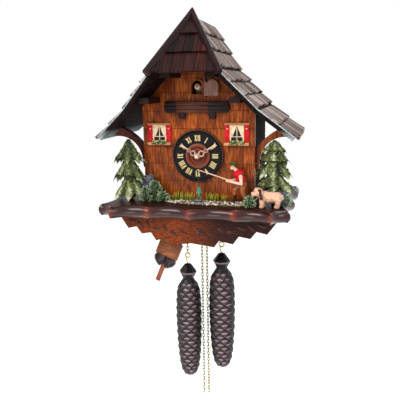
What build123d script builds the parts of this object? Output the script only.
from build123d import *
import math
import os

os.makedirs("parts", exist_ok=True)

# A wall-hung chalet cuckoo clock. The origin is the hanging hole in the wall plane, x points right,
# z points up and the room is at negative y, so every "depth" is a distance out from the wall.
# Heights called rise or drop are counted from the centre of the dial.
dial_z = -120.0

# House
case_half_width = 86.0
case_depth = 130.0
panel_thickness = 6.0
wall_thickness = 6.0
back_thickness = 5.0
base_drop = 68.0
base_thickness = 17.0
base_half_width = 144.0
base_front = 198.0
base_lobe = 6.0
base_scallop = 9.0
base_mould = 4.0
apron_drop = 129.0
apron_prow_depth = 183.0
apron_end_depth = 152.0
apron_half_width = 122.0
apron_thickness = 8.0
joint_gap = 0.2

# Hanging
hang_hole_radius = 4.0
hanger_width = 30.0
hanger_height = 24.0
hanger_thickness = 2.0
nail_room_radius = 7.0
fit_gap = 0.1

# Roof line of the boards, right half: ridge, knee, bend and eave
ridge_rise = 198.0
knee_x = 45.2
knee_rise = 124.9
bend_x = 97.3
bend_rise = 70.0
eave_x = 146.0
eave_rise = 30.7
roof_thickness = 6.0
hip_start_depth = 150.0
hip_front_depth = 206.0
eave_front_depth = 164.0
shingle_head = 1.0
shingle_butt = 4.0
shingle_width = 21.0
shingle_gap = 0.5
steep_courses = 3
middle_courses = 2
eave_courses = 2
hip_courses = 3
shingle_overhang = 7.0
valley_gap = 1.2
hip_trim_width = 4.5
hip_trim_height = 8.0
hip_trim_overhang = 9.0
purlin_width = 15.0
purlin_height = 8.5
purlin_setback = 12.0
bracket_thickness = 12.0
bracket_setback = 8.0
bracket_width = 6.5
bracket_foot_rise = -20.0
bracket_knee_rise = -2.0
bracket_wall_rise = 9.0
bracket_head_inner = 124.0
bracket_head_outer = 136.0
bracket_head_cheek = 3.0

# Cuckoo opening and door
opening_half_width = 8.2
opening_sill_rise = 91.0
opening_top_rise = 110.5
arch_trim_width = 3.2
arch_trim_thickness = 2.2
door_width = 18.0
door_height = 23.2
door_thickness = 2.0
door_gap = 0.4
door_open = 172.0
door_pin_radius = 0.6
door_barrel_radius = 1.1

# Front dressing
window_x = 59.5
window_sill_rise = 21.0
window_width = 21.0
window_height = 25.0
window_bar = 2.2
window_depth = 3.0
pane_thickness = 0.8
shutter_width = 8.0
shutter_thickness = 2.0
lintel_height = 3.4
flower_box_height = 5.0
flower_box_depth = 8.0
plank_half_width = 50.0
plank_rise = 64.0
plank_height = 17.0
plank_thickness = 9.0
console_width = 12.0
console_height = 9.0
console_x = 23.0

# Dial and hands
dial_radius = 39.5
dial_rim_inner = 35.3
dial_rim_thickness = 6.0
dial_ring_thickness = 4.0
dial_boss_radius = 18.5
dial_boss_thickness = 5.0
numeral_radius = 27.0
numeral_height = 9.0
numeral_stroke = 1.5
numeral_relief = 0.4
hand_thickness = 0.8
hand_spacing = 1.2
hour_hand_length = 31.0
minute_hand_length = 36.0
hour_hand_clock = 305.0
minute_hand_clock = 58.0

# Movement
plate_half_width = 46.0
plate_top_rise = 49.0
plate_bottom_drop = 62.0
plate_thickness = 1.5
front_plate_depth = 118.0
back_plate_depth = 80.0
pillar_radius = 3.0
pillar_spigot_radius = 2.0
arbor_radius = 1.5
pivot_radius = 1.0
running_gap = 0.05
end_shake = 0.3
hour_pipe_radius = 2.5
great_teeth = 72
great_leaves = 12
great_module = 0.8
centre_teeth = 80
third_leaves = 10
centre_module = 0.45
third_teeth = 80
escape_leaves = 10
third_module = 0.4
escape_teeth = 60
escape_radius = 12.0
cannon_leaves = 12
minute_teeth = 36
motion_module = 0.5
minute_leaves = 10
hour_teeth = 40
pin_teeth = 60
fly_leaves = 10
fly_module = 0.5
pin_circle_radius = 10.0
pin_count = 8
fly_reach = 11.0
anchor_rise_over_wheel = 16.0
anchor_share = 0.4

# Chains and weights
chain_depth = 100.0
weight_x = 28.5
free_chain_x = 4.0
chain_pitch = 5.45
chain_wire = 1.0
chain_inner_width = 2.0
chain_play = 0.1
left_run_links = 25
right_run_links = 21
free_run_links = 71
wrap_links = 7
sprocket_flange = 1.2
hook_ring_radius = 4.0
hook_wire_radius = 0.9
free_ring_radius = 2.8
weight_length = 203.0
weight_head_radius = 14.0
weight_neck_radius = 9.0
weight_body_radius = 21.6

# Pendulum
pendulum_depth = 48.0
pendulum_pivot_rise = 4.0
pendulum_swing = 22.5
pendulum_length = 262.0
pendulum_stick_width = 8.0
pendulum_stick_thickness = 3.5
pendulum_pin_radius = 1.2
bob_width = 41.0
bob_height = 28.5
bob_top = 180.0
bob_thickness = 9.0
leaf_drop = 24.0

# Scenery and figures
ground_thickness = 2.0
tree_rise = 26.0
tree_left_x = -104.0
tree_left_depth = 148.0
tree_right_x = 116.0
tree_right_depth = 146.0
tree_half_width = 29.0
tree_half_depth = 12.0
man_x = 66.0
man_depth = 146.0
rod_pivot_x = 69.0
rod_pivot_rise = -26.0
rod_depth = 156.0
rod_tip_x = 6.0
rod_tip_rise = -17.5
rod_radius = 0.7
line_drop = 26.0
fish_length = 17.0
dog_x = 110.0
dog_depth = 169.0

# Cuckoo, bellows and gong
bird_rise = 101.0
bird_radius = 6.0
shelf_thickness = 3.0
shelf_half_width = 10.0
bellows_width = 22.0
bellows_length = 28.0
bellows_bottom_rise = 10.0
bellows_height = 52.0
bellows_lid = 3.0
gong_drop = 21.5
gong_wire_radius = 1.2
gong_inner_radius = 12.0
gong_step = 4.0
gong_half_turns = 6
gong_depth = 14.0
hammer_x = 45.0
hammer_pivot_drop = 48.0
hammer_arm = 28.0

# Places worked out from the sizes
base_top = dial_z - base_drop
base_bottom = base_top - base_thickness
panel_back = case_depth - panel_thickness
plate_inner_front = front_plate_depth - plate_thickness
plate_outer_back = back_plate_depth - plate_thickness


def upright(depth, x=0.0, z=0.0, turn=0.0):
    """Plane facing the room at a depth, turned clockwise by an angle as seen from the room."""
    c = math.cos(math.radians(turn))
    s = math.sin(math.radians(turn))
    return Plane(origin=(x, -depth, z), x_dir=(c, 0, -s), z_dir=(0, -1, 0))


def slab(x0, x1, depth0, depth1, z0, z1, mode=Mode.ADD):
    """Block between two x, two depths and two heights, added to the piece being made."""
    with Locations(((x0 + x1) / 2, -(depth0 + depth1) / 2, (z0 + z1) / 2)):
        Box(abs(x1 - x0), abs(depth1 - depth0), abs(z1 - z0), mode=mode)


def rod(x, z, depth0, depth1, radius, mode=Mode.ADD):
    """Round bar square to the wall between two depths."""
    with BuildSketch(upright(depth0, x, z)) as end:
        Circle(radius)
    extrude(end.sketch, amount=depth1 - depth0, mode=mode)


def plate(points, depth0, depth1, mode=Mode.ADD):
    """Flat piece with a closed outline of (x, z) points between two depths."""
    with BuildSketch(upright(depth0)) as face:
        with BuildLine():
            Polyline(*points, close=True)
        make_face()
    extrude(face.sketch, amount=depth1 - depth0, mode=mode)


def crossing(a, b):
    """Point where two lines, each given by two points, meet."""
    (x1, z1), (x2, z2) = a
    (x3, z3), (x4, z4) = b
    d = (x1 - x2) * (z3 - z4) - (z1 - z2) * (x3 - x4)
    p = x1 * z2 - z1 * x2
    q = x3 * z4 - z3 * x4
    return ((p * (x3 - x4) - (x1 - x2) * q) / d, (p * (z3 - z4) - (z1 - z2) * q) / d)


def inward(points, distance):
    """The roof line moved squarely inwards, its first point kept over the ridge."""
    lines = []
    for (x0, z0), (x1, z1) in zip(points, points[1:]):
        length = math.hypot(x1 - x0, z1 - z0)
        nx = (z1 - z0) / length * distance
        nz = -(x1 - x0) / length * distance
        lines.append(((x0 + nx, z0 + nz), (x1 + nx, z1 + nz)))
    upright_line = ((points[0][0], 0.0), (points[0][0], 1.0))
    moved = [crossing(lines[0], upright_line)]
    for first, second in zip(lines, lines[1:]):
        moved.append(crossing(first, second))
    moved.append(lines[-1][1])
    return moved


def height_at(points, x):
    """Height of the roof line at a distance from the middle."""
    for (x0, z0), (x1, z1) in zip(points, points[1:]):
        if x <= x1:
            break
    return z0 + (z1 - z0) * (x - x0) / (x1 - x0)


def mirrored(points):
    """The (x, z) outline of a right half, closed with its left half."""
    return points + [(-x, z) for x, z in reversed(points) if x]


roof_line = [
    (0.0, dial_z + ridge_rise),
    (knee_x, dial_z + knee_rise),
    (bend_x, dial_z + bend_rise),
    (eave_x, dial_z + eave_rise),
]
under_line = inward(roof_line, roof_thickness)
wall_inner = case_half_width - wall_thickness
house_outline = mirrored(
    [
        (case_half_width, base_top),
        (case_half_width, height_at(under_line, case_half_width)),
        under_line[1],
        under_line[0],
    ]
)
opening_spring = dial_z + opening_top_rise - opening_half_width

# Front panel: the house front under the roof, with the arched cuckoo opening and the hole for the hands
with BuildPart() as front_panel:
    plate(house_outline, panel_back, case_depth)
    slab(
        -opening_half_width,
        opening_half_width,
        panel_back,
        case_depth,
        dial_z + opening_sill_rise,
        opening_spring,
        mode=Mode.SUBTRACT,
    )
    rod(0, opening_spring, panel_back, case_depth, opening_half_width, mode=Mode.SUBTRACT)
    rod(0, dial_z, panel_back, case_depth, hour_pipe_radius + 1.5, mode=Mode.SUBTRACT)
front_panel.part.label = "front_panel"
export_step(front_panel.part, "parts/front_panel.step")

# Side walls between the front panel and the back panel
with BuildPart() as side_walls:
    plate(
        [
            (wall_inner, base_top),
            (case_half_width, base_top),
            (case_half_width, height_at(under_line, case_half_width)),
            (wall_inner, height_at(under_line, wall_inner)),
        ],
        back_thickness,
        panel_back,
    )
    mirror(about=Plane.YZ)
side_walls.part.label = "side_walls"
export_step(side_walls.part, "parts/side_walls.step")

# Back panel: room for the nail's head behind a flush pocket for the hanger plate
with BuildPart() as back_panel:
    plate(house_outline, 0, back_thickness)
    slab(
        -hanger_width / 2 - fit_gap,
        hanger_width / 2 + fit_gap,
        0,
        hanger_thickness,
        -hanger_height / 2 - fit_gap,
        hanger_height / 2 + fit_gap,
        mode=Mode.SUBTRACT,
    )
    rod(0, 0, 0, back_thickness, nail_room_radius, mode=Mode.SUBTRACT)
back_panel.part.label = "back_panel"
export_step(back_panel.part, "parts/back_panel.step")

# Steel hanger plate, flush with the back
with BuildPart() as hanger_plate:
    slab(-hanger_width / 2, hanger_width / 2, 0, hanger_thickness, -hanger_height / 2, hanger_height / 2)
    rod(0, 0, 0, hanger_thickness, hang_hole_radius, mode=Mode.SUBTRACT)
hanger_plate.part.label = "hanger_plate"
export_step(hanger_plate.part, "parts/hanger_plate.step")


def base_rim(inset):
    """Right half of the base's scalloped rim as arcs (start, middle, end), moved in by an inset."""
    side = base_half_width - inset
    front = base_front - inset
    ridges = [
        (0.0, -front),
        (0.44 * side, -(front - 0.75 * base_lobe)),
        (0.82 * side, -(front + base_lobe)),
        (0.985 * side, -(front - 2.3 * base_lobe)),
        (0.995 * side, -0.55 * front),
        (side, -0.17 * front),
    ]
    arcs = []
    for start, end in zip(ridges, ridges[1:]):
        run = math.hypot(end[0] - start[0], end[1] - start[1])
        sag = base_scallop * min(1.0, run / (0.35 * side))
        nx = (end[1] - start[1]) / run
        nz = -(end[0] - start[0]) / run
        middle = ((start[0] + end[0]) / 2 - nx * sag, (start[1] + end[1]) / 2 - nz * sag)
        arcs.append((start, middle, end))
    return arcs


def base_layer(inset, z0, z1):
    """One moulding layer of the base between two heights."""
    arcs = base_rim(inset)
    with BuildSketch(Plane.XY.offset(z0)) as outline:
        with BuildLine():
            for start, middle, end in arcs:
                ThreePointArc(start, middle, end)
                ThreePointArc((-start[0], start[1]), (-middle[0], middle[1]), (-end[0], end[1]))
            corner = arcs[-1][2]
            Polyline(corner, (corner[0], 0), (-corner[0], 0), (-corner[0], corner[1]))
        make_face()
    extrude(outline.sketch, amount=z1 - z0)


pendulum_pivot_z = dial_z + pendulum_pivot_rise
slot_half = (pendulum_pivot_z - base_bottom) * math.tan(math.radians(pendulum_swing)) + pendulum_stick_width

# Base plate: moulded scalloped rim, holes for the chains and a slot for the pendulum stick
with BuildPart() as base_plate:
    base_layer(base_mould, base_bottom, base_bottom + base_thickness * 0.3)
    base_layer(0, base_bottom + base_thickness * 0.3, base_top - base_thickness * 0.25)
    base_layer(base_mould, base_top - base_thickness * 0.25, base_top)
    with BuildSketch(Plane.XY.offset(base_bottom)):
        with Locations((-weight_x, -chain_depth), (weight_x, -chain_depth)):
            Circle(chain_inner_width / 2 + chain_wire + 3.0)
        with Locations((0, -chain_depth)):
            SlotCenterToCenter(2 * free_chain_x, chain_inner_width + 2 * chain_wire + 6.0)
        with Locations((0, -pendulum_depth)):
            SlotOverall(2 * slot_half, pendulum_stick_thickness + 5.0)
    extrude(amount=base_thickness, mode=Mode.SUBTRACT)
base_plate.part.label = "base_plate"
export_step(base_plate.part, "parts/base_plate.step")

# Apron boards: two boards under the base that meet in a prow, with a stepped lower edge
apron_lean = math.atan2(apron_prow_depth - apron_end_depth, apron_half_width)
apron_fall = apron_drop - base_drop - base_thickness
apron_steps = [
    (0.0, 0.84),
    (0.265, 1.0),
    (0.325, 0.78),
    (0.485, 0.91),
    (0.555, 0.65),
    (0.69, 0.74),
    (0.76, 0.50),
    (0.885, 0.60),
    (1.0, 0.18),
]
with BuildPart() as apron_boards:
    apron_plane = Plane(
        origin=(0, -apron_prow_depth, base_bottom),
        x_dir=(math.cos(apron_lean), math.sin(apron_lean), 0),
        z_dir=(math.sin(apron_lean), -math.cos(apron_lean), 0),
    )
    apron_run = apron_half_width / math.cos(apron_lean)
    with BuildSketch(apron_plane):
        with BuildLine():
            Polyline(
                (apron_run, 0),
                (-apron_thickness, 0),
                (-apron_thickness, -apron_fall * apron_steps[0][1]),
                *[(apron_run * a, -apron_fall * b) for a, b in apron_steps],
                close=True,
            )
        make_face()
    extrude(amount=-apron_thickness)
    split(bisect_by=Plane.YZ.offset(joint_gap / 2), keep=Keep.TOP)
    mirror(about=Plane.YZ)
apron_boards.part.label = "apron_boards"
export_step(apron_boards.part, "parts/apron_boards.step")

# Vertical cuts in plan: along each hip, and along the slanting front edge of the lower roof
hip_run = hip_front_depth - hip_start_depth
hip_cut = Plane(origin=(0, -hip_start_depth, 0), z_dir=(hip_run, knee_x, 0))
hip_cut_left = Plane(origin=(0, -hip_start_depth, 0), z_dir=(-hip_run, knee_x, 0))
flare_cut = Plane(
    origin=(knee_x, -hip_front_depth, 0),
    z_dir=(-(hip_front_depth - eave_front_depth), eave_x - knee_x, 0),
)

hip_fall = ridge_rise - knee_rise
hip_length = math.hypot(hip_run, hip_fall)
hip_apex = (0, -hip_start_depth, dial_z + ridge_rise)
hip_plane = Plane(origin=hip_apex, x_dir=(1, 0, 0), z_dir=(0, -hip_fall, hip_run))

# Frame of the right hip line: along the hip, across the side slope, across the hip slope, and outwards
hip_along = Vector(knee_x, -hip_run, -hip_fall).normalized()
steep_normal = Vector(hip_fall, 0, knee_x).normalized()
hip_normal = Vector(0, -hip_fall, hip_run).normalized()
hip_out = (steep_normal + hip_normal).normalized()
steep_across = hip_along.cross(steep_normal).normalized()
hip_across = hip_normal.cross(hip_along).normalized()
hip_side = hip_out.cross(hip_along).normalized()
hip_line_length = math.sqrt(knee_x**2 + hip_run**2 + hip_fall**2)
if steep_across.dot(Vector(0, 1, 0)) < 0:
    steep_across = steep_across * -1
if hip_across.dot(Vector(-1, 0, 0)) < 0:
    hip_across = hip_across * -1
trim_face = Plane(
    origin=Vector(*hip_apex) + steep_across * (hip_trim_width + shingle_gap),
    z_dir=hip_side * (1 if hip_side.dot(steep_across) > 0 else -1),
)


# Steep upper roof boards
with BuildPart() as upper_roof_boards:
    plate([roof_line[0], roof_line[1], under_line[1], under_line[0]], 0, hip_front_depth + roof_thickness)
    split(bisect_by=hip_cut, keep=Keep.TOP)
    split(bisect_by=Plane.YZ.offset(joint_gap / 2), keep=Keep.TOP)
    mirror(about=Plane.YZ)
upper_roof_boards.part.label = "upper_roof_boards"
export_step(upper_roof_boards.part, "parts/upper_roof_boards.step")

# Flared lower roof boards, bent once on the way to the eave
with BuildPart() as lower_roof_boards:
    plate(roof_line[1:] + under_line[:0:-1], 0, hip_front_depth + roof_thickness)
    split(bisect_by=flare_cut, keep=Keep.TOP)
    split(bisect_by=trim_face, keep=Keep.TOP)
    mirror(about=Plane.YZ)
lower_roof_boards.part.label = "lower_roof_boards"
export_step(lower_roof_boards.part, "parts/lower_roof_boards.step")

# Half-hip board that leans forward from the end of the ridge
with BuildPart() as hip_board:
    with BuildSketch(hip_plane):
        with Locations((0, -hip_length / 2)):
            Rectangle(3 * knee_x, hip_length)
    extrude(amount=-roof_thickness)
    split(bisect_by=hip_cut, keep=Keep.BOTTOM)
    split(bisect_by=hip_cut_left, keep=Keep.BOTTOM)
hip_board.part.label = "hip_board"
export_step(hip_board.part, "parts/hip_board.step")

def hip_section(vector):
    """Sketch coordinates of a vector on the plane square to the hip line."""
    return (vector.dot(hip_side), vector.dot(hip_out))


# Roof timbers: trims that cap both hips, and the purlins whose ends show under the roof
trim_plane = Plane(
    origin=Vector(*hip_apex) - hip_along * hip_trim_overhang,
    x_dir=hip_side,
    z_dir=hip_side.cross(hip_out),
)
trim_sign = 1 if trim_plane.z_dir.dot(hip_along) > 0 else -1
steep_foot = Vector(*hip_section(steep_across * hip_trim_width))
hip_foot = Vector(*hip_section(hip_across * hip_trim_width))
purlin_places = [
    (knee_x - 6.0 - purlin_width, knee_x - 6.0),
    (bend_x - 25.0 - purlin_width, bend_x - 25.0),
]


def roof_front(x):
    """Depth of the roof's front edge at a distance from the middle."""
    if x < knee_x:
        return hip_start_depth + hip_run * x / knee_x
    share = (x - knee_x) / (eave_x - knee_x)
    return hip_front_depth + (eave_front_depth - hip_front_depth) * share


with BuildPart() as roof_timbers:
    with BuildSketch(trim_plane):
        with BuildLine():
            Polyline(
                (0, 0),
                (steep_foot.X, steep_foot.Y),
                (steep_foot.X, steep_foot.Y + hip_trim_height),
                (0, hip_trim_height),
                (hip_foot.X, hip_foot.Y + hip_trim_height),
                (hip_foot.X, hip_foot.Y),
                close=True,
            )
        make_face()
    extrude(amount=trim_sign * (hip_line_length + 2 * hip_trim_overhang))
    split(bisect_by=Plane.YZ.offset(joint_gap / 2), keep=Keep.TOP)
    for inner, outer in purlin_places:
        top = height_at(under_line, outer)
        start = case_depth if outer < case_half_width else 0
        slab(inner, outer, start, roof_front(outer) - purlin_setback, top - purlin_height, top)
    mirror(about=Plane.YZ)
roof_timbers.part.label = "roof_timbers"
export_step(roof_timbers.part, "parts/roof_timbers.step")


def shingle_courses(start, end, count, from_start, past_end):
    """Wedge sections of the courses down one slope, each thick at its lower edge."""
    run = math.hypot(end[0] - start[0], end[1] - start[1])
    dx = (end[0] - start[0]) / run
    dz = (end[1] - start[1]) / run

    def spot(along, out):
        return (start[0] + dx * along - dz * out, start[1] + dz * along + dx * out)

    step = (run + past_end - from_start) / count
    for course in range(count):
        upper = from_start + course * step
        lower = upper + step
        yield [
            spot(upper, 0),
            spot(lower, 0),
            spot(lower, shingle_butt),
            spot(upper, shingle_head),
        ]


def shingle_row(section, length, stagger):
    """Separate shingles of one course, of uneven width, from the back edge to a length."""
    pieces = []
    depth = 0.0
    column = 0
    while depth < length:
        width = shingle_width * (1 + 0.22 * math.sin(2.3 * column + 1.9 * stagger))
        if column == 0:
            width *= 0.45 + 0.4 * (stagger % 2)
        with BuildPart(mode=Mode.PRIVATE) as shingle:
            plate(section, depth, depth + width - shingle_gap)
        pieces.append(shingle.part)
        depth += width
        column += 1
    return pieces


# Shingles on the side slopes stop short of the hip trim
with BuildPart() as steep_shingles:
    steep_sections = shingle_courses(roof_line[0], roof_line[1], steep_courses, joint_gap, -valley_gap)
    for index, section in enumerate(steep_sections):
        add(shingle_row(section, hip_front_depth, index))
    split(bisect_by=trim_face, keep=Keep.TOP)

with BuildPart() as flared_shingles:
    middle_sections = shingle_courses(roof_line[1], roof_line[2], middle_courses, valley_gap, -valley_gap)
    eave_sections = shingle_courses(roof_line[2], roof_line[3], eave_courses, valley_gap, shingle_overhang)
    for index, section in enumerate([*middle_sections, *eave_sections]):
        add(shingle_row(section, hip_front_depth, index + steep_courses))
    split(bisect_by=flare_cut, keep=Keep.TOP)
    split(bisect_by=trim_face, keep=Keep.TOP)

with BuildPart() as roof_shingles:
    add(steep_shingles.part)
    add(flared_shingles.part)
    mirror(about=Plane.YZ)
roof_shingles.part.label = "roof_shingles"
export_step(roof_shingles.part, "parts/roof_shingles.step")

# Shingles on the half-hip: a plain peak and staggered courses below it
hip_trim_face = Plane(
    origin=Vector(*hip_apex) + hip_across * (hip_trim_width + shingle_gap),
    z_dir=hip_side * (1 if hip_side.dot(hip_across) > 0 else -1),
)
hip_trim_face_left = Plane(
    origin=(-hip_trim_face.origin.X, hip_trim_face.origin.Y, hip_trim_face.origin.Z),
    z_dir=(-hip_trim_face.z_dir.X, hip_trim_face.z_dir.Y, hip_trim_face.z_dir.Z),
)
with BuildPart() as hip_shingles:
    course_step = (hip_length + shingle_overhang) / hip_courses
    for course in range(hip_courses):
        upper = course * course_step
        across = 2 * knee_x * (upper + course_step) / hip_length
        count = max(1, round(across / shingle_width)) if course else 1
        width = across / count
        for column in range(count):
            side = Plane(
                origin=hip_plane.from_local_coords((column * width - across / 2, -upper, 0)),
                x_dir=hip_plane.y_dir * -1,
                z_dir=(1, 0, 0),
            )
            with BuildSketch(side):
                with BuildLine():
                    Polyline(
                        (0, 0),
                        (course_step, 0),
                        (course_step, -shingle_butt),
                        (0, -shingle_head),
                        close=True,
                    )
                make_face()
            extrude(amount=width - shingle_gap)
    split(bisect_by=hip_trim_face, keep=Keep.TOP)
    split(bisect_by=hip_trim_face_left, keep=Keep.TOP)
hip_shingles.part.label = "hip_shingles"
export_step(hip_shingles.part, "parts/hip_shingles.step")

# Eave brackets: slim bent struts that rise along the wall and curve out under the eaves
bracket_foot = dial_z + bracket_foot_rise
bracket_knee = (case_half_width + bracket_width, dial_z + bracket_knee_rise)
bracket_wall = (case_half_width, dial_z + bracket_wall_rise)
bracket_inner = (bracket_head_inner, height_at(under_line, bracket_head_inner))
bracket_outer = (bracket_head_outer, height_at(under_line, bracket_head_outer))
bracket_tip = (bracket_head_outer - bracket_head_cheek, bracket_outer[1] - bracket_head_cheek)
with BuildPart() as eave_brackets:
    with BuildSketch(upright(case_depth - bracket_setback - bracket_thickness)):
        with BuildLine():
            Polyline(
                bracket_wall,
                (case_half_width, bracket_foot),
                (case_half_width + 0.7 * bracket_width, bracket_foot),
                bracket_knee,
            )
            ThreePointArc(
                bracket_knee,
                (
                    bracket_knee[0] + 0.29 * (bracket_tip[0] - bracket_knee[0]),
                    bracket_knee[1] + 0.68 * (bracket_tip[1] - bracket_knee[1]),
                ),
                bracket_tip,
            )
            Polyline(bracket_tip, bracket_outer, bracket_inner)
            ThreePointArc(
                bracket_inner,
                (
                    bracket_wall[0] + 0.44 * (bracket_inner[0] - bracket_wall[0]),
                    bracket_wall[1] + 0.61 * (bracket_inner[1] - bracket_wall[1]),
                ),
                bracket_wall,
            )
        make_face()
    extrude(amount=bracket_thickness)
    mirror(about=Plane.YZ)
eave_brackets.part.label = "eave_brackets"
export_step(eave_brackets.part, "parts/eave_brackets.step")

# Windows: frame with glazing bars and a lintel, and a dark pane behind the bars
window_sill = dial_z + window_sill_rise
window_top = window_sill + window_height
window_left = window_x - window_width / 2
window_right = window_x + window_width / 2
with BuildPart() as windows:
    slab(window_left, window_right, case_depth + pane_thickness + fit_gap, case_depth + window_depth, window_sill, window_top)
    for across in (-1, 1):
        for up in (-1, 1):
            light_width = (window_width - 3 * window_bar) / 2
            light_height = (window_height - 3 * window_bar) / 2
            cx = window_x + across * (light_width + window_bar) / 2
            cz = window_sill + window_height / 2 + up * (light_height + window_bar) / 2
            slab(
                cx - light_width / 2,
                cx + light_width / 2,
                case_depth,
                case_depth + window_depth,
                cz - light_height / 2,
                cz + light_height / 2,
                mode=Mode.SUBTRACT,
            )
    slab(
        window_left - shutter_width,
        window_right + shutter_width,
        case_depth,
        case_depth + window_depth + 1.0,
        window_top,
        window_top + lintel_height,
    )
    slab(window_left, window_right, case_depth, case_depth + pane_thickness, window_sill, window_top - fit_gap)
    mirror(about=Plane.YZ)
windows.part.label = "windows"
export_step(windows.part, "parts/windows.step")

# Shutters, one each side of each window
with BuildPart() as shutters:
    for edge in (window_left - shutter_width, window_right + fit_gap):
        slab(
            edge,
            edge + shutter_width - fit_gap,
            case_depth,
            case_depth + shutter_thickness,
            window_sill,
            window_top - fit_gap,
        )
    mirror(about=Plane.YZ)
shutters.part.label = "shutters"
export_step(shutters.part, "parts/shutters.step")

# Flower boxes under the windows
with BuildPart() as flower_boxes:
    slab(
        window_left - shutter_width,
        window_right + shutter_width,
        case_depth,
        case_depth + flower_box_depth,
        window_sill - flower_box_height,
        window_sill,
    )
    fillet(flower_boxes.edges().filter_by(Axis.X).group_by(Axis.Y)[0], radius=flower_box_height * 0.3)
    mirror(about=Plane.YZ)
flower_boxes.part.label = "flower_boxes"
export_step(flower_boxes.part, "parts/flower_boxes.step")

# Sign plank, left bare, on two consoles
plank_bottom = dial_z + plank_rise
with BuildPart() as sign_plank:
    with BuildSketch(upright(case_depth, 0, plank_bottom + plank_height / 2)):
        with BuildLine():
            h = plank_height / 2
            Polyline(
                *mirrored([(plank_half_width - 4, -h), (plank_half_width, -h * 0.3), (plank_half_width - 2, h)]),
                close=True,
            )
        make_face()
    extrude(amount=plank_thickness)
    for side in (-1, 1):
        slab(
            side * console_x - console_width / 2,
            side * console_x + console_width / 2,
            case_depth,
            case_depth + plank_thickness * 0.8,
            plank_bottom - console_height,
            plank_bottom - fit_gap,
        )
sign_plank.part.label = "sign_plank"
export_step(sign_plank.part, "parts/sign_plank.step")

# Arch trim round the cuckoo opening, with the two eyes that carry the door's pins
door_axis_x = opening_half_width + arch_trim_width + door_barrel_radius + door_gap
door_axis_depth = case_depth + arch_trim_thickness + door_gap + door_thickness + 0.7
door_bottom = dial_z + opening_sill_rise - 2.5
eye_height = 2.0
with BuildPart() as door_arch:
    with BuildSketch(upright(case_depth)):
        with Locations((0, opening_spring)):
            Circle(opening_half_width + arch_trim_width)
        with Locations((0, (opening_spring + dial_z + opening_sill_rise) / 2)):
            Rectangle(
                2 * (opening_half_width + arch_trim_width),
                opening_spring - dial_z - opening_sill_rise,
            )
        with Locations((0, opening_spring)):
            Circle(opening_half_width, mode=Mode.SUBTRACT)
        with Locations((0, (opening_spring + dial_z + opening_sill_rise) / 2)):
            Rectangle(
                2 * opening_half_width,
                opening_spring - dial_z - opening_sill_rise,
                mode=Mode.SUBTRACT,
            )
    extrude(amount=arch_trim_thickness)
    for z0 in (door_bottom - door_gap - eye_height, door_bottom + door_height + door_gap):
        slab(
            door_axis_x - 1.6,
            door_axis_x + 1.6,
            case_depth,
            door_axis_depth + 1.6,
            z0,
            z0 + eye_height,
        )
        with Locations((door_axis_x, -door_axis_depth, z0 + eye_height / 2)):
            Cylinder(door_pin_radius + running_gap, eye_height, mode=Mode.SUBTRACT)
door_arch.part.label = "door_arch"
export_step(door_arch.part, "parts/door_arch.step")

# Cuckoo door, swung wide open; the leaf, its barrel and the two pins
door_turn = math.radians(door_open)
door_dir = (-math.cos(door_turn), -math.sin(door_turn), 0)
door_in = (-math.sin(door_turn), math.cos(door_turn), 0)
door_plane = Plane(
    origin=(door_axis_x, -door_axis_depth, door_bottom),
    x_dir=door_dir,
    z_dir=door_in,
)
with BuildPart() as cuckoo_door:
    leaf_start = door_axis_x - door_width / 2
    with BuildSketch(door_plane.offset(0.7)):
        with BuildLine():
            Polyline(
                (leaf_start + door_width, door_height * 0.62),
                (leaf_start + door_width, 0),
                (0, 0),
                (0, door_height),
                (leaf_start, door_height * 0.78),
            )
            ThreePointArc(
                (leaf_start, door_height * 0.78),
                (leaf_start + door_width / 2, door_height),
                (leaf_start + door_width, door_height * 0.62),
            )
        make_face()
    extrude(amount=door_thickness)
    with Locations((door_axis_x, -door_axis_depth, door_bottom + door_height / 2)):
        Cylinder(door_barrel_radius, door_height)
        Cylinder(door_pin_radius, door_height + 2 * (door_gap + eye_height))
cuckoo_door.part.label = "cuckoo_door"
export_step(cuckoo_door.part, "parts/cuckoo_door.step")

# Dial: a turned ring with a raised rim
with BuildPart() as dial_ring:
    with BuildSketch(Plane.XY.offset(dial_z)):
        with BuildLine():
            Polyline(
                (dial_boss_radius + fit_gap, -case_depth),
                (dial_radius, -case_depth),
                (dial_radius, -case_depth - dial_rim_thickness * 0.6),
                ((dial_radius + dial_rim_inner) / 2, -case_depth - dial_rim_thickness),
                (dial_rim_inner, -case_depth - dial_ring_thickness),
                (dial_boss_radius + fit_gap, -case_depth - dial_ring_thickness),
                close=True,
            )
        make_face()
    revolve(axis=Axis((0, 0, dial_z), (0, 1, 0)))
dial_ring.part.label = "dial_ring"
export_step(dial_ring.part, "parts/dial_ring.step")

# Turned dial centre
with BuildPart() as dial_boss:
    with BuildSketch(Plane.XY.offset(dial_z)):
        with BuildLine():
            face = -case_depth - dial_boss_thickness
            Polyline(
                (hour_pipe_radius + 0.5, -case_depth),
                (dial_boss_radius, -case_depth),
                (dial_boss_radius, face + 1.0),
                (dial_boss_radius * 0.82, face),
                (dial_boss_radius * 0.62, face + 1.4),
                (dial_boss_radius * 0.42, face + 0.4),
                (hour_pipe_radius + 0.5, face + 0.8),
                close=True,
            )
        make_face()
    revolve(axis=Axis((0, 0, dial_z), (0, 1, 0)))
dial_boss.part.label = "dial_boss"
export_step(dial_boss.part, "parts/dial_boss.step")

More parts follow.
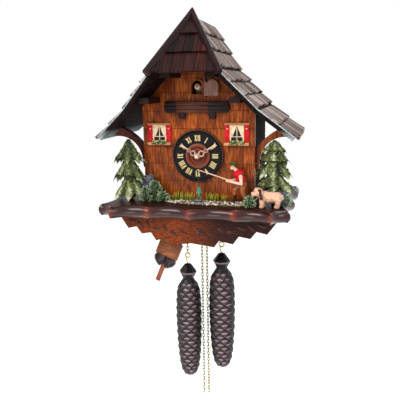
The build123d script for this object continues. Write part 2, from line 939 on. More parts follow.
# Plain Roman numerals: each stroke is (place across the numeral, lean of the stroke)
one = [("I", 2.4)]
five = [("V", 5.0)]
ten = [("X", 5.0)]
numerals = [
    one,
    one * 2,
    one * 3,
    one * 4,
    five,
    five + one,
    five + one * 2,
    five + one * 3,
    one + ten,
    ten,
    ten + one,
    ten + one * 2,
]
with BuildPart() as dial_numerals:
    for hour, letters in enumerate(numerals, start=1):
        turn = 30.0 * hour
        place = upright(case_depth + dial_ring_thickness, 0, dial_z, turn)
        total = sum(width for _, width in letters)
        with BuildSketch(place):
            left = -total / 2
            for letter, width in letters:
                middle = left + width / 2
                left += width
                lean = math.degrees(math.atan2(width - numeral_stroke - 0.8, numeral_height))
                if letter == "I":
                    with Locations((middle, numeral_radius)):
                        Rectangle(numeral_stroke, numeral_height)
                elif letter == "X":
                    with Locations((middle, numeral_radius)):
                        Rectangle(numeral_stroke, numeral_height, rotation=lean)
                        Rectangle(numeral_stroke * 0.7, numeral_height, rotation=-lean)
                else:
                    shift = (width - numeral_stroke - 0.8) / 4
                    with Locations((middle - shift, numeral_radius)):
                        Rectangle(numeral_stroke, numeral_height, rotation=lean / 2)
                    with Locations((middle + shift, numeral_radius)):
                        Rectangle(numeral_stroke * 0.7, numeral_height, rotation=-lean / 2)
        extrude(amount=numeral_relief)
dial_numerals.part.label = "dial_numerals"
export_step(dial_numerals.part, "parts/dial_numerals.step")


def tooth_ring(teeth, module, pinion, turn):
    """Closed outline of a toothed wheel; the leaves of a pinion are slimmer and deeper cut."""
    pitch = 360.0 / teeth
    radius = teeth * module / 2
    if pinion:
        tip, root = radius + 0.5 * module, radius - 1.25 * module
        half = (0.13, 0.15, 0.07)
    else:
        tip, root = radius + 0.85 * module, radius - 0.85 * module
        half = (0.24, 0.19, 0.07)
    points = []
    for tooth in range(teeth):
        for share, r in (
            (-half[0], root),
            (-half[1], radius),
            (-half[2], tip),
            (half[2], tip),
            (half[1], radius),
            (half[0], root),
        ):
            angle = math.radians(turn + (tooth + share) * pitch)
            points.append((r * math.cos(angle), r * math.sin(angle)))
    return points


def meshed(turn, teeth, other_teeth, direction):
    """Turn of a wheel that meshes with another one standing in a direction from it."""
    return direction + 180.0 + 180.0 / other_teeth + (direction - turn) * teeth / other_teeth


def wheel(centre, depth0, depth1, teeth, module, pinion=False, turn=0.0):
    """Toothed wheel between two depths, added to the piece being made."""
    radius = teeth * module / 2
    with BuildSketch(upright(depth0, centre[0], dial_z + centre[1])) as outline:
        with BuildLine():
            Polyline(*tooth_ring(teeth, module, pinion, turn), close=True)
        make_face()
        if radius > 8.0:
            with PolarLocations(radius * 0.58, 5):
                Circle(radius * 0.22, mode=Mode.SUBTRACT)
    extrude(outline.sketch, amount=depth1 - depth0)


def arbor(centre, inner_back=back_plate_depth + end_shake, inner_front=plate_inner_front - end_shake):
    """Arbor between the plates with a pivot through each plate."""
    x, z = centre[0], dial_z + centre[1]
    rod(x, z, inner_back, inner_front, arbor_radius)
    rod(x, z, plate_outer_back - 0.8, front_plate_depth + 0.8, pivot_radius)


def bearing(x, z):
    """Direction, in degrees, of a point from the origin."""
    return math.degrees(math.atan2(z, x))


# Arbor places, counted from the dial centre
sprocket_radius = (weight_x - free_chain_x) / 2
great_x = (weight_x + free_chain_x) / 2
great_distance = (great_teeth + great_leaves) * great_module / 2
great_place = (great_x, -math.sqrt(great_distance**2 - great_x**2))
strike_place = (-great_x, great_place[1])
third_distance = (centre_teeth + third_leaves) * centre_module / 2
third_place = (third_distance * math.cos(math.pi / 4), third_distance * math.sin(math.pi / 4))
escape_distance = (third_teeth + escape_leaves) * third_module / 2
escape_place = (0.0, third_place[1] + math.sqrt(escape_distance**2 - third_place[0] ** 2))
anchor_place = (0.0, escape_place[1] + anchor_rise_over_wheel)
pin_bearing = math.radians(100.0)
pin_place = (
    strike_place[0] + great_distance * math.cos(pin_bearing),
    strike_place[1] + great_distance * math.sin(pin_bearing),
)
fly_distance = (pin_teeth + fly_leaves) * fly_module / 2
fly_bearing = math.radians(103.0)
fly_place = (
    pin_place[0] + fly_distance * math.cos(fly_bearing),
    pin_place[1] + fly_distance * math.sin(fly_bearing),
)
motion_distance = (cannon_leaves + minute_teeth) * motion_module / 2
hour_module = 2 * motion_distance / (minute_leaves + hour_teeth)
minute_place = (-motion_distance * math.cos(math.pi / 4), -motion_distance * math.sin(math.pi / 4))
pillar_places = [
    (side * (plate_half_width - 2 * pillar_radius), z)
    for side in (-1, 1)
    for z in (plate_top_rise - 2 * pillar_radius, -plate_bottom_drop + 2 * pillar_radius)
]

# Movement plates: pivot holes, pillar holes, the minute-wheel stud and the hammer pin
with BuildPart() as movement_plates:
    for depth0, depth1 in ((plate_outer_back, back_plate_depth), (plate_inner_front, front_plate_depth)):
        slab(
            -plate_half_width,
            plate_half_width,
            depth0,
            depth1,
            dial_z - plate_bottom_drop,
            dial_z + plate_top_rise,
        )
    for x, z in (great_place, strike_place, third_place, escape_place, anchor_place, pin_place, fly_place, (0, 0)):
        rod(x, dial_z + z, plate_outer_back, front_plate_depth, pivot_radius + running_gap, mode=Mode.SUBTRACT)
    for x, z in pillar_places:
        rod(
            x,
            dial_z + z,
            plate_outer_back,
            front_plate_depth,
            pillar_spigot_radius + running_gap,
            mode=Mode.SUBTRACT,
        )
    rod(0, dial_z, plate_inner_front, front_plate_depth, arbor_radius + running_gap, mode=Mode.SUBTRACT)
    rod(minute_place[0], dial_z + minute_place[1], front_plate_depth, panel_back - 0.6, pivot_radius)
    rod(hammer_x, dial_z - hammer_pivot_drop, plate_outer_back - 16.0, plate_outer_back, pivot_radius)
movement_plates.part.label = "movement_plates"
export_step(movement_plates.part, "parts/movement_plates.step")

# Pillars: shouldered between the plates, their front spigots carried by the front panel
with BuildPart() as movement_pillars:
    for x, z in pillar_places:
        rod(x, dial_z + z, back_plate_depth, plate_inner_front, pillar_radius)
        rod(x, dial_z + z, plate_outer_back - 1.5, panel_back, pillar_spigot_radius)
movement_pillars.part.label = "movement_pillars"
export_step(movement_pillars.part, "parts/movement_pillars.step")

# Depths of the wheels between the plates
great_level = front_plate_depth - 6.0
centre_level = front_plate_depth - 11.0
rear_level = back_plate_depth + 11.0
escape_level = back_plate_depth + 5.0
hour_level = front_plate_depth + 3.4
hour_hand_depth = case_depth + dial_rim_thickness + hand_spacing
minute_hand_depth = hour_hand_depth + hand_thickness + hand_spacing
arbor_end = minute_hand_depth + hand_thickness + 2.2

# Centre arbor: one turn an hour, with its pinion, wheel, cannon pinion and the seat of the minute hand
with BuildPart() as centre_arbor:
    rod(0, dial_z, back_plate_depth + end_shake, arbor_end, arbor_radius)
    rod(0, dial_z, plate_outer_back - 0.8, back_plate_depth + end_shake, pivot_radius)
    wheel((0, 0), great_level - 1.0, great_level + 3.0, great_leaves, great_module, pinion=True)
    wheel((0, 0), centre_level, centre_level + 1.6, centre_teeth, centre_module)
    wheel((0, 0), front_plate_depth + 0.6, front_plate_depth + 2.4, cannon_leaves, motion_module, pinion=True)
centre_arbor.part.label = "centre_arbor"
export_step(centre_arbor.part, "parts/centre_arbor.step")

# Time great wheel
great_turn = meshed(0, great_leaves, great_teeth, bearing(*great_place))
with BuildPart() as time_great_wheel:
    wheel(great_place, great_level, great_level + 2.0, great_teeth, great_module, turn=great_turn)
    arbor(great_place)
time_great_wheel.part.label = "time_great_wheel"
export_step(time_great_wheel.part, "parts/time_great_wheel.step")

# Third wheel with its pinion
third_turn = meshed(0, centre_teeth, third_leaves, bearing(*third_place))
with BuildPart() as third_wheel:
    wheel(third_place, centre_level - 1.0, centre_level + 2.6, third_leaves, centre_module, True, third_turn)
    wheel(third_place, rear_level + 1.0, rear_level + 2.4, third_teeth, third_module, turn=third_turn)
    arbor(third_place)
third_wheel.part.label = "third_wheel"
export_step(third_wheel.part, "parts/third_wheel.step")

# Escape wheel with raked teeth, and its pinion
escape_bearing = bearing(escape_place[0] - third_place[0], escape_place[1] - third_place[1])
escape_turn = meshed(third_turn, third_teeth, escape_leaves, escape_bearing)
with BuildPart() as escape_wheel:
    wheel(escape_place, rear_level, rear_level + 3.6, escape_leaves, third_module, True, escape_turn)
    with BuildSketch(upright(escape_level, escape_place[0], dial_z + escape_place[1])):
        with BuildLine():
            saw = []
            for tooth in range(escape_teeth):
                start = math.radians(tooth * 360.0 / escape_teeth)
                later = math.radians((tooth + 0.7) * 360.0 / escape_teeth)
                saw.append((escape_radius * math.cos(start), escape_radius * math.sin(start)))
                saw.append(((escape_radius - 1.5) * math.cos(later), (escape_radius - 1.5) * math.sin(later)))
            Polyline(*saw, close=True)
        make_face()
        with PolarLocations(escape_radius * 0.55, 4):
            Circle(escape_radius * 0.2, mode=Mode.SUBTRACT)
    extrude(amount=1.4)
    arbor(escape_place)
escape_wheel.part.label = "escape_wheel"
export_step(escape_wheel.part, "parts/escape_wheel.step")

# Anchor over the escape wheel, with the crutch that reaches down behind the back plate to the pendulum
anchor_turn = pendulum_swing * anchor_share
anchor_z = dial_z + anchor_place[1]
crutch_end = anchor_place[1] - pendulum_pivot_rise + 24.0
fork_half = pendulum_stick_width / 2 + 3.0
crutch_depth = plate_outer_back - 3.6
with BuildPart() as anchor:
    arbor(anchor_place)
    rod(0, anchor_z, crutch_depth - 1.0, plate_outer_back, pivot_radius)
    with BuildSketch(upright(escape_level, 0, anchor_z, anchor_turn)):
        with BuildLine():
            reach = escape_radius * 0.92
            Polyline(
                *mirrored([(reach, -6.0), (reach - 1.6, -5.5), (reach - 2.2, -2.5), (0.5, -1.8)]),
                *[(-reach - 0.4, -2.0), (-2.0, 2.2), (2.0, 2.2), (reach + 0.4, -2.0)],
                close=True,
            )
        make_face()
    extrude(amount=1.4)
    with BuildSketch(upright(crutch_depth, 0, anchor_z, anchor_turn)):
        with Locations((0, -crutch_end / 2)):
            Rectangle(2.0, crutch_end)
        with Locations((0, -crutch_end)):
            Rectangle(2 * fork_half + 2.0, 2.0)
        Circle(2.2)
    extrude(amount=1.2)
    fork_plane = upright(pendulum_depth - 3.0, 0, anchor_z, anchor_turn)
    with BuildSketch(fork_plane):
        with Locations((-fork_half, -crutch_end), (fork_half, -crutch_end)):
            Rectangle(2.0, 2.0)
    extrude(amount=crutch_depth - pendulum_depth + 3.0)
anchor.part.label = "anchor"
export_step(anchor.part, "parts/anchor.step")

# Hour wheel on its pipe, and the minute wheel that drives it
minute_turn = meshed(0, cannon_leaves, minute_teeth, bearing(*minute_place))
hour_turn = meshed(minute_turn, minute_leaves, hour_teeth, bearing(-minute_place[0], -minute_place[1]))
with BuildPart() as hour_wheel:
    wheel((0, 0), hour_level, hour_level + 1.4, hour_teeth, hour_module, turn=hour_turn)
    rod(0, dial_z, hour_level, hour_hand_depth + hand_thickness, hour_pipe_radius)
    rod(0, dial_z, hour_level, hour_hand_depth + hand_thickness, arbor_radius + running_gap, mode=Mode.SUBTRACT)
hour_wheel.part.label = "hour_wheel"
export_step(hour_wheel.part, "parts/hour_wheel.step")

with BuildPart() as minute_wheel:
    wheel(minute_place, front_plate_depth + 0.8, front_plate_depth + 2.2, minute_teeth, motion_module, turn=minute_turn)
    wheel(
        minute_place,
        front_plate_depth + 2.2,
        panel_back - 0.8,
        minute_leaves,
        hour_module,
        pinion=True,
        turn=minute_turn,
    )
    rod(
        minute_place[0],
        dial_z + minute_place[1],
        front_plate_depth + 0.8,
        panel_back - 0.8,
        pivot_radius + running_gap,
        mode=Mode.SUBTRACT,
    )
minute_wheel.part.label = "minute_wheel"
export_step(minute_wheel.part, "parts/minute_wheel.step")


def hand(depth, clock, length, hub, bore):
    """Carved hand: a ring on the arbor, a waved stem, and a pierced leaf before the tip."""
    with BuildSketch(upright(depth, 0, dial_z, clock)) as outline:
        Circle(hub)
        with BuildLine():
            Polyline(
                *mirrored([(0.9, 0), (0.9, 0.45 * length), (2.0, 0.5 * length), (0.7, 0.8 * length), (0.2, length)]),
                close=True,
            )
        make_face()
        with Locations((0, 0.62 * length)):
            Ellipse(0.115 * length, 0.16 * length)
        with Locations((0, 0.32 * length)):
            Circle(0.07 * length)
        with Locations((0, 0.62 * length)):
            Ellipse(0.055 * length, 0.09 * length, mode=Mode.SUBTRACT)
        Circle(bore, mode=Mode.SUBTRACT)
    extrude(outline.sketch, amount=hand_thickness)


seat_gap = 0.02
with BuildPart() as hour_hand:
    hand(hour_hand_depth, hour_hand_clock, hour_hand_length, 4.2, hour_pipe_radius + seat_gap)
hour_hand.part.label = "hour_hand"
export_step(hour_hand.part, "parts/hour_hand.step")

with BuildPart() as minute_hand:
    hand(minute_hand_depth, minute_hand_clock, minute_hand_length, 3.6, arbor_radius + seat_gap)
minute_hand.part.label = "minute_hand"
export_step(minute_hand.part, "parts/minute_hand.step")

with BuildPart() as hand_nut:
    rod(0, dial_z, minute_hand_depth + hand_thickness, arbor_end + 0.6, 2.6)
    chamfer(hand_nut.edges().group_by(Axis.Y)[0], 0.7)
    rod(0, dial_z, minute_hand_depth + hand_thickness, arbor_end, arbor_radius + seat_gap, mode=Mode.SUBTRACT)
hand_nut.part.label = "hand_nut"
export_step(hand_nut.part, "parts/hand_nut.step")

# Strike train: great wheel, pin wheel with its lifting pins, and the fly
with BuildPart() as strike_great_wheel:
    wheel(strike_place, rear_level, rear_level + 2.0, great_teeth, great_module)
    arbor(strike_place)
strike_great_wheel.part.label = "strike_great_wheel"
export_step(strike_great_wheel.part, "parts/strike_great_wheel.step")

pin_turn = meshed(0, great_teeth, great_leaves, math.degrees(pin_bearing))
with BuildPart() as pin_wheel:
    wheel(pin_place, rear_level - 1.0, rear_level + 3.0, great_leaves, great_module, True, pin_turn)
    wheel(pin_place, escape_level, escape_level + 1.8, pin_teeth, fly_module, turn=pin_turn)
    with BuildSketch(upright(escape_level + 1.8, pin_place[0], dial_z + pin_place[1])):
        with PolarLocations(pin_circle_radius + 2.2, pin_count, start_angle=36.0):
            Circle(0.9)
    extrude(amount=2.4)
    arbor(pin_place)
pin_wheel.part.label = "pin_wheel"
export_step(pin_wheel.part, "parts/pin_wheel.step")

fly_turn = meshed(pin_turn, pin_teeth, fly_leaves, math.degrees(fly_bearing))
with BuildPart() as fly:
    wheel(fly_place, escape_level - 1.0, escape_level + 2.8, fly_leaves, fly_module, True, fly_turn)
    arbor(fly_place)
    slab(
        fly_place[0] - fly_reach,
        fly_place[0] + fly_reach,
        rear_level + 5.0,
        front_plate_depth - 8.0,
        dial_z + fly_place[1] - 0.5,
        dial_z + fly_place[1] + 0.5,
    )
fly.part.label = "fly"
export_step(fly.part, "parts/fly.step")

# Chain sprockets, free to be wound round on the great-wheel arbors
link_half_width = chain_inner_width / 2 + chain_wire
groove_half = link_half_width + 0.6
groove_floor = sprocket_radius - link_half_width - 0.4


def sprocket(place):
    """Grooved chain drum between two flanges, bored to run on its arbor."""
    x, z = place[0], dial_z + place[1]
    rod(x, z, chain_depth - groove_half - sprocket_flange, chain_depth + groove_half + sprocket_flange, groove_floor)
    for start in (chain_depth - groove_half - sprocket_flange, chain_depth + groove_half):
        rod(x, z, start, start + sprocket_flange, sprocket_radius + link_half_width)
    rod(
        x,
        z,
        chain_depth - groove_half - sprocket_flange,
        chain_depth + groove_half + sprocket_flange,
        arbor_radius + running_gap,
        mode=Mode.SUBTRACT,
    )


with BuildPart() as sprocket_right:
    sprocket(great_place)
sprocket_right.part.label = "sprocket_right"
export_step(sprocket_right.part, "parts/sprocket_right.step")

with BuildPart() as sprocket_left:
    sprocket(strike_place)
sprocket_left.part.label = "sprocket_left"
export_step(sprocket_left.part, "parts/sprocket_left.step")

# One chain link, long way up, its flat facing the room
link_inner_half = (chain_pitch + chain_wire + chain_play) / 2
with BuildPart() as chain_link:
    with BuildSketch(upright(-chain_wire / 2)):
        SlotOverall(2 * (link_inner_half + chain_wire), 2 * link_half_width, rotation=90)
        SlotOverall(2 * link_inner_half, chain_inner_width, rotation=90, mode=Mode.SUBTRACT)
    extrude(amount=chain_wire)


def run_links(x, count):
    """Places of the links that hang straight down from a sprocket, alternately edge-on and flat."""
    top = dial_z + great_place[1]
    return [
        Location((x, -chain_depth, top - chain_pitch * (k + 0.5)), (0, 0, 90 if k % 2 == 0 else 0))
        for k in range(count)
    ]


def arch_links(place):
    """Places of the links that lie over the top of a sprocket."""
    spots = []
    for k in range(wrap_links):
        angle = math.pi * (k + 0.5) / wrap_links
        x = place[0] + sprocket_radius * math.cos(angle)
        z = dial_z + place[1] + sprocket_radius * math.sin(angle)
        tilt = Location((x, -chain_depth, z), (0, -math.degrees(angle), 0))
        spots.append(tilt * Location((0, 0, 0), (0, 0, 90 if k % 2 else 0)))
    return spots


def run_end(count):
    """Height of the inside of the lowest link's lower bend."""
    return dial_z + great_place[1] - chain_pitch * (count - 0.5) - link_inner_half


with BuildPart() as weight_chain_left:
    with Locations(*run_links(-weight_x, left_run_links), *arch_links(strike_place)):
        add(chain_link.part)
weight_chain_left.part.label = "weight_chain_left"
export_step(weight_chain_left.part, "parts/weight_chain_left.step")

with BuildPart() as weight_chain_right:
    with Locations(*run_links(weight_x, right_run_links), *arch_links(great_place)):
        add(chain_link.part)
weight_chain_right.part.label = "weight_chain_right"
export_step(weight_chain_right.part, "parts/weight_chain_right.step")


def end_ring(x, count, radius, wire):
    """Ring hung in the lowest link of a run."""
    centre = run_end(count) + chain_play / 2 + wire - radius
    with Locations(Location((x, -chain_depth, centre), (90, 0, 0))):
        Torus(radius, wire)


with BuildPart() as free_chain_left:
    with Locations(*run_links(-free_chain_x, free_run_links)):
        add(chain_link.part)
    end_ring(-free_chain_x, free_run_links, free_ring_radius, chain_wire / 2)
free_chain_left.part.label = "free_chain_left"
export_step(free_chain_left.part, "parts/free_chain_left.step")

with BuildPart() as free_chain_right:
    with Locations(*run_links(free_chain_x, free_run_links)):
        add(chain_link.part)
    end_ring(free_chain_x, free_run_links, free_ring_radius, chain_wire / 2)
free_chain_right.part.label = "free_chain_right"
export_step(free_chain_right.part, "parts/free_chain_right.step")


def eased(points, steps=4):
    """Points of a turned profile, eased from one given radius to the next."""
    path = [points[0]]
    for (r0, a0), (r1, a1) in zip(points, points[1:]):
        for step in range(1, steps + 1):
            share = step / steps
            blend = (1 - math.cos(math.pi * share)) / 2
            if r1 == 0.0:
                blend = 1 - math.sqrt(1 - share**2)
            path.append((r0 + (r1 - r0) * blend, a0 + (a1 - a0) * share))
    return path


def cone_weight(x, count):
    """Pine-cone weight with its turned head, bored for the stem of the hook that hangs in the chain."""
    ring_centre = run_end(count) + chain_play / 2 + hook_wire_radius - hook_ring_radius
    top = ring_centre - hook_ring_radius - 10.0
    bottom = top - weight_length
    stem = 6.0
    turned = eased(
        [
            (0.4 * weight_head_radius, 0.0),
            (weight_head_radius, 0.066 * weight_length),
            (weight_neck_radius, 0.126 * weight_length),
            (0.87 * weight_body_radius, 0.205 * weight_length),
            (0.98 * weight_body_radius, 0.30 * weight_length),
            (weight_body_radius, 0.45 * weight_length),
            (0.96 * weight_body_radius, 0.66 * weight_length),
            (0.85 * weight_body_radius, 0.84 * weight_length),
            (0.66 * weight_body_radius, 0.95 * weight_length),
            (0.0, weight_length),
        ]
    )
    with BuildSketch(upright(chain_depth, x)) as profile:
        with BuildLine():
            Line((0, bottom), (0, top))
            Line((0, top), (turned[0][0], top))
            Spline(*[(r, top - along) for r, along in turned])
        make_face()
    revolve(profile.sketch, axis=Axis((x, -chain_depth, 0), (0, 0, 1)))
    with Locations((x, -chain_depth, top - stem / 2)):
        Cylinder(hook_wire_radius + running_gap, stem, mode=Mode.SUBTRACT)
    end_ring(x, count, hook_ring_radius, hook_wire_radius)
    stem_top = ring_centre - hook_ring_radius
    stem_foot = top - stem + running_gap
    with Locations((x, -chain_depth, (stem_top + stem_foot) / 2)):
        Cylinder(hook_wire_radius, stem_top - stem_foot)


with BuildPart() as weight_left:
    cone_weight(-weight_x, left_run_links)
weight_left.part.label = "weight_left"
export_step(weight_left.part, "parts/weight_left.step")

with BuildPart() as weight_right:
    cone_weight(weight_x, right_run_links)
weight_right.part.label = "weight_right"
export_step(weight_right.part, "parts/weight_right.step")

# Pendulum post: a foot on the back panel and the pin that carries the stick's eye
with BuildPart() as pendulum_post:
    rod(0, pendulum_pivot_z, back_thickness, pendulum_depth - 5.0, 2 * pendulum_pin_radius)
    rod(0, pendulum_pivot_z, back_thickness, pendulum_depth + 4.0, pendulum_pin_radius)
    rod(0, pendulum_pivot_z, back_thickness, back_thickness + 3.0, 4 * pendulum_pin_radius)
pendulum_post.part.label = "pendulum_post"
export_step(pendulum_post.part, "parts/pendulum_post.step")

# Pendulum, shown at the left end of its swing: stick with an eye on the pivot pin, and the carved bob
with BuildPart() as pendulum_rod:
    stick_back = pendulum_depth - pendulum_stick_thickness / 2
    with BuildSketch(upright(stick_back, 0, pendulum_pivot_z, pendulum_swing)):
        with Locations((0, -pendulum_length / 2)):
            Rectangle(pendulum_stick_width, pendulum_length)
        Circle(pendulum_stick_width / 2 + 1.0)
        Circle(pendulum_pin_radius + running_gap, mode=Mode.SUBTRACT)
    extrude(amount=pendulum_stick_thickness)
pendulum_rod.part.label = "pendulum_rod"
export_step(pendulum_rod.part, "parts/pendulum_rod.step")

with BuildPart() as pendulum_bob:
    stick_front = pendulum_depth + pendulum_stick_thickness / 2
    with BuildSketch(upright(stick_front, 0, pendulum_pivot_z, pendulum_swing)):
        with Locations((0, -bob_top - bob_height / 2)):
            Rectangle(bob_width, bob_height)
        low = -bob_top - bob_height
        with BuildLine():
            Polyline(
                *mirrored(
                    [
                        (0.36 * bob_width, low + 1),
                        (0.5 * bob_width, low - 0.35 * leaf_drop),
                        (0.34 * bob_width, low - 0.8 * leaf_drop),
                        (0.12 * bob_width, low - leaf_drop),
                        (0.06 * bob_width, low - 0.4 * leaf_drop),
                    ]
                ),
                close=True,
            )
        make_face()
    extrude(amount=bob_thickness)
    chamfer(pendulum_bob.faces().sort_by(Axis.Y)[0].edges(), 0.8)
pendulum_bob.part.label = "pendulum_bob"
export_step(pendulum_bob.part, "parts/pendulum_bob.step")

# The cuckoo on its slide block, which runs over a shelf behind the panel
bird_z = dial_z + bird_rise
shelf_top = dial_z + opening_sill_rise - 3.0
slide_half = 5.0
with BuildPart() as cuckoo_bird:
    slab(-slide_half, slide_half, panel_back - 24.0, panel_back - 6.0, shelf_top + end_shake, bird_z - 2.0)
    with BuildSketch(Plane(origin=(0, -panel_back + 30.0, bird_z - 1.0), z_dir=(0, -1, 0))):
        Circle(0.45 * bird_radius)
    with BuildSketch(Plane(origin=(0, -panel_back + 14.0, bird_z - 1.0), z_dir=(0, -1, 0))):
        Circle(bird_radius)
    with BuildSketch(Plane(origin=(0, -panel_back - 1.0, bird_z), z_dir=(0, -1, 0))):
        Circle(0.8 * bird_radius)
    loft()
    with Locations((0, -panel_back - 2.0, bird_z + 1.0)):
        Sphere(0.85 * bird_radius)
    with Locations(Location((0, -panel_back - 9.0, bird_z + 0.5), (90, 0, 0))):
        Cone(1.8, 0.5, 7.0)
cuckoo_bird.part.label = "cuckoo_bird"
export_step(cuckoo_bird.part, "parts/cuckoo_bird.step")

# Bellows boxes on the side walls, each with two ears and a pin for its lid, and the cuckoo's shelf
bellows_back = panel_back - 40.0
bellows_front = bellows_back + bellows_length
bellows_left = wall_inner - bellows_width
bellows_bottom = dial_z + bellows_bottom_rise
bellows_top = bellows_bottom + bellows_height
lid_axis_depth = bellows_back - 2.6
lid_axis_z = bellows_top + bellows_lid / 2 + 0.4
ear = 4.0
with BuildPart() as bellows_and_shelf:
    slab(bellows_left, wall_inner, bellows_back, bellows_front, bellows_bottom, bellows_top)
    slab(bellows_left, bellows_left + ear, lid_axis_depth - 2.0, bellows_back, bellows_top - 10.0, lid_axis_z + 2.0)
    slab(wall_inner - ear, wall_inner, lid_axis_depth - 2.0, bellows_back, bellows_top - 10.0, lid_axis_z + 2.0)
    with Locations(Location(((bellows_left + wall_inner) / 2, -lid_axis_depth, lid_axis_z), (0, 90, 0))):
        Cylinder(0.8, bellows_width - ear)
    mirror(about=Plane.YZ)
    slab(
        -shelf_half_width,
        shelf_half_width,
        panel_back - 66.0,
        panel_back,
        shelf_top - shelf_thickness,
        shelf_top,
    )
bellows_and_shelf.part.label = "bellows_and_shelf"
export_step(bellows_and_shelf.part, "parts/bellows_and_shelf.step")


def bellows_lid_piece(side):
    """Hinged lid of one bellows with the barrel that runs on the box's pin."""
    inner = side * (bellows_left + end_shake)
    outer = side * (wall_inner - end_shake)
    slab(
        inner,
        outer,
        bellows_back + 1.2,
        bellows_front,
        lid_axis_z - bellows_lid / 2,
        lid_axis_z + bellows_lid / 2,
    )
    slab(
        side * (bellows_left + ear + end_shake),
        side * (wall_inner - ear - end_shake),
        lid_axis_depth,
        bellows_back + 2.4,
        lid_axis_z - bellows_lid / 2,
        lid_axis_z + bellows_lid / 2,
    )
    middle = side * (bellows_left + wall_inner) / 2
    with Locations(Location((middle, -lid_axis_depth, lid_axis_z), (0, 90, 0))):
        Cylinder(bellows_lid / 2, bellows_width - 2 * ear - 2 * end_shake)
        Cylinder(0.8 + running_gap, bellows_width, mode=Mode.SUBTRACT)


with BuildPart() as bellows_lid_left:
    bellows_lid_piece(-1)
bellows_lid_left.part.label = "bellows_lid_left"
export_step(bellows_lid_left.part, "parts/bellows_lid_left.step")

with BuildPart() as bellows_lid_right:
    bellows_lid_piece(1)
bellows_lid_right.part.label = "bellows_lid_right"
export_step(bellows_lid_right.part, "parts/bellows_lid_right.step")

# Gong: a flat wire coil of half turns held by a block on the back panel
gong_z = dial_z - gong_drop
gong_ends = [
    (gong_inner_radius + k * gong_step) * (1 if k % 2 == 0 else -1) for k in range(gong_half_turns + 1)
]
with BuildPart() as gong:
    with BuildLine(upright(gong_depth, 0, gong_z)) as gong_route:
        for k, (start, end) in enumerate(zip(gong_ends, gong_ends[1:])):
            reach = abs(start - end) / 2
            ThreePointArc((start, 0), ((start + end) / 2, reach if k % 2 == 0 else -reach), (end, 0))
    with BuildSketch(Plane(origin=(gong_ends[0], -gong_depth, gong_z), z_dir=(0, 0, 1))):
        Circle(gong_wire_radius)
    sweep(path=gong_route.line)
    slab(
        gong_ends[0] - 4.0,
        gong_ends[0] + 4.0,
        back_thickness,
        gong_depth + 3.0,
        gong_z - 7.0,
        gong_z + 3.0,
    )
gong.part.label = "gong"
export_step(gong.part, "parts/gong.step")

# Gong hammer on its pin behind the back plate
hammer_z = dial_z - hammer_pivot_drop
hammer_back = plate_outer_back - 14.0
with BuildPart() as gong_hammer:
    with BuildSketch(upright(hammer_back, hammer_x, hammer_z)):
        Circle(3.0)
        with Locations((0, hammer_arm / 2)):
            Rectangle(3.0, hammer_arm)
        Circle(pivot_radius + running_gap, mode=Mode.SUBTRACT)
    extrude(amount=6.0)
    rod(hammer_x, hammer_z + hammer_arm, gong_depth - 4.0, hammer_back + 6.0, 1.3)
    rod(hammer_x, hammer_z + hammer_arm, gong_depth - 4.0, gong_depth + 4.0, 3.2)
gong_hammer.part.label = "gong_hammer"
export_step(gong_hammer.part, "parts/gong_hammer.step")


def tree(x, depth):
    """Carved fir: three tiers of boughs, flatter towards the house, on a short trunk."""
    tiers = [(0.0, 0.42, 1.0), (0.30, 0.70, 0.9), (0.58, 1.0, 0.78)]
    height = tree_rise + base_drop - 4.0
    foot = base_top + 4.0
    with Locations((x, -depth, base_top + 4.0)):
        Cylinder(0.3 * tree_half_depth, 8.0)
    for low, high, share in tiers:
        with BuildSketch(Plane.XY.offset(foot + low * height)) as boughs:
            with Locations((x, -depth)):
                Ellipse(share * tree_half_width, share * tree_half_depth)
        with BuildSketch(Plane.XY.offset(foot + high * height)) as point:
            with Locations((x, -depth)):
                Ellipse(0.14 * tree_half_width * share, 0.14 * tree_half_depth * share)
        loft([boughs.sketch, point.sketch])


with BuildPart() as fir_trees:
    tree(tree_left_x, tree_left_depth)
    tree(tree_right_x, tree_right_depth)
fir_trees.part.label = "fir_trees"
export_step(fir_trees.part, "parts/fir_trees.step")

# Ground cover in front of the house: gravel bed with the pond's sheet let into it, and bushes
ground_top = base_top + ground_thickness
pond_x, pond_depth = 3.0, 152.0
with BuildPart() as ground_cover:
    with BuildSketch(Plane.XY.offset(base_top)):
        with BuildLine():
            Polyline(
                (-50, -case_depth),
                (84, -case_depth),
                (84, -156),
                (70, -170),
                (20, -168),
                (-30, -163),
                (-50, -152),
                close=True,
            )
        make_face()
        with Locations((pond_x, -pond_depth)):
            Ellipse(16.0, 9.0, mode=Mode.SUBTRACT)
    extrude(amount=ground_thickness)
    with BuildSketch(Plane.XY.offset(base_top)):
        with Locations((pond_x, -pond_depth)):
            Ellipse(16.0 - fit_gap, 9.0 - fit_gap)
    extrude(amount=ground_thickness * 0.6)
    for x, depth, radius in ((-66.0, 150.0, 7.0), (-58.0, 141.0, 8.5), (80.0, 182.0, 6.0)):
        with Locations((x, -depth, base_top)):
            Sphere(radius, arc_size1=0, align=(Align.CENTER, Align.CENTER, Align.MIN))
ground_cover.part.label = "ground_cover"
export_step(ground_cover.part, "parts/ground_cover.step")


def limb(start, end, radius_start, radius_end):
    """Tapered round limb between two points."""
    a = Vector(*start)
    b = Vector(*end)
    with BuildSketch(Plane(origin=a, z_dir=b - a)) as near:
        Circle(radius_start)
    with BuildSketch(Plane(origin=b, z_dir=b - a)) as far:
        Circle(radius_end)
    loft([near.sketch, far.sketch])
    with Locations(a):
        Sphere(1.06 * radius_start)


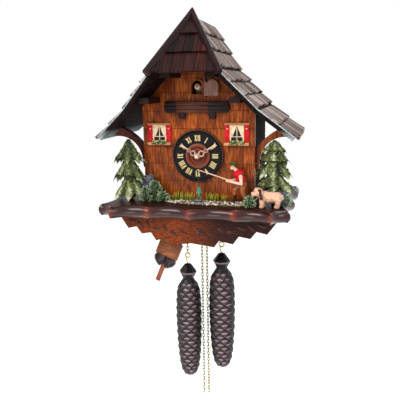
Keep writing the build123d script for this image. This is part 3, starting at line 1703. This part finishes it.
# Fisherman: standing with bent knees and leaning back against the pull of the rod
man_y = -man_depth
hip_z = dial_z - 42.0
shoulder_z = dial_z - 22.0
with BuildPart() as fisherman:
    for foot_x, foot_y in ((man_x - 8.0, man_y + 3.0), (man_x + 9.0, man_y - 3.0)):
        slab(foot_x - 6.0, foot_x + 3.5, -foot_y - 3.0, -foot_y + 3.0, ground_top, ground_top + 4.0)
        limb((man_x + 4.0, foot_y, hip_z), (foot_x, foot_y, ground_top + 3.0), 4.6, 2.8)
    limb((man_x + 3.0, man_y, hip_z), (man_x - 2.0, man_y, shoulder_z), 6.6, 6.2)
    limb((man_x - 2.0, man_y, shoulder_z), (man_x - 6.0, man_y, shoulder_z + 6.0), 6.0, 3.0)
    with Locations((man_x - 8.0, man_y, shoulder_z + 9.0)):
        Sphere(5.2)
    with Locations((man_x - 8.0, man_y, shoulder_z + 13.0)):
        Cylinder(8.0, 1.4)
    with Locations((man_x - 8.0, man_y, shoulder_z + 16.0)):
        Cone(5.4, 4.2, 5.0)
    rod(rod_pivot_x, dial_z + rod_pivot_rise, man_depth, man_depth + 7.2, 3.0)
    rod(
        rod_pivot_x,
        dial_z + rod_pivot_rise,
        man_depth + 1.0,
        man_depth + 7.2,
        1.2 + running_gap,
        mode=Mode.SUBTRACT,
    )
fisherman.part.label = "fisherman"
export_step(fisherman.part, "parts/fisherman.step")

# Fishing arm with the rod: turns on a peg in the shoulder
peg_z = dial_z + rod_pivot_rise
tip = (rod_tip_x, -rod_depth, dial_z + rod_tip_rise)
butt = (rod_pivot_x + 3.0, -rod_depth, dial_z - 38.0)
grip = (rod_pivot_x - 20.0, -rod_depth, dial_z - 31.5)
rod_end = (tip[0] - 1.5, tip[1], tip[2] + 1.5 * (tip[2] - butt[2]) / (butt[0] - tip[0]))
with BuildPart() as fishing_rod:
    rod(rod_pivot_x, peg_z, man_depth + 2.0, man_depth + 9.0, 1.2)
    limb((rod_pivot_x, -man_depth - 10.2, peg_z), (rod_pivot_x + 1.0, -rod_depth, peg_z - 11.0), 2.6, 2.2)
    limb((rod_pivot_x + 1.0, -rod_depth, peg_z - 11.0), grip, 2.3, 1.8)
    with Locations(grip):
        Sphere(2.5)
    limb(butt, rod_end, 1.1, rod_radius)
    rod(rod_tip_x, dial_z + rod_tip_rise, rod_depth - 2.6, rod_depth + 0.4, 0.45)
fishing_rod.part.label = "fishing_rod"
export_step(fishing_rod.part, "parts/fishing_rod.step")

# Line with the fish, hung on the rod's tip
tip_z = dial_z + rod_tip_rise
fish_depth = rod_depth - 1.8
with BuildPart() as fish:
    rod(rod_tip_x, tip_z, fish_depth - 0.4, fish_depth + 0.4, 1.1)
    rod(rod_tip_x, tip_z, fish_depth - 0.4, fish_depth + 0.4, 0.45 + running_gap, mode=Mode.SUBTRACT)
    slab(
        rod_tip_x - 0.3,
        rod_tip_x + 0.3,
        fish_depth - 0.3,
        fish_depth + 0.3,
        tip_z - line_drop - 1.0,
        tip_z - 0.8,
    )
    with BuildSketch(upright(fish_depth - 1.5)):
        with Locations((rod_tip_x, tip_z - line_drop - 0.4 * fish_length)):
            Ellipse(2.9, 0.42 * fish_length)
        with BuildLine():
            fork = tip_z - line_drop - fish_length
            Polyline(
                (rod_tip_x, fork + 0.3 * fish_length),
                (rod_tip_x + 3.2, fork),
                (rod_tip_x, fork + 1.2),
                (rod_tip_x - 3.2, fork),
                close=True,
            )
        make_face()
    extrude(amount=3.0)
fish.part.label = "fish"
export_step(fish.part, "parts/fish.step")

# Dog: a shaggy standing dog looking towards the pond
dog_y = -dog_depth
with BuildPart() as dog:
    with Locations(Location((dog_x + 3.5, dog_y, base_top + 15.5), (0, 90, 0))):
        Cylinder(7.4, 17.0)
    for x, y, z, radius in (
        (-5.0, 0.3, 16.0, 8.3),
        (12.0, -0.2, 15.0, 7.9),
        (-14.0, -3.0, 23.0, 7.0),
        (-20.5, -5.5, 20.8, 4.0),
        (20.5, 0.4, 18.0, 3.2),
    ):
        with Locations((dog_x + x, dog_y + y, base_top + z)):
            Sphere(radius)
    for x, y in ((-8.0, -4.5), (-6.0, 4.5), (13.0, -4.0), (12.0, 4.0)):
        with Locations((dog_x + x, dog_y + y, base_top + 6.0)):
            Cylinder(2.6, 12.0)
    for side in (-1, 1):
        with Locations(Location((dog_x - 9.0, dog_y - 3.0 + side * 6.0, base_top + 21.0), (0, 20, 0))):
            Box(5.0, 2.4, 11.0)
dog.part.label = "dog"
export_step(dog.part, "parts/dog.step")
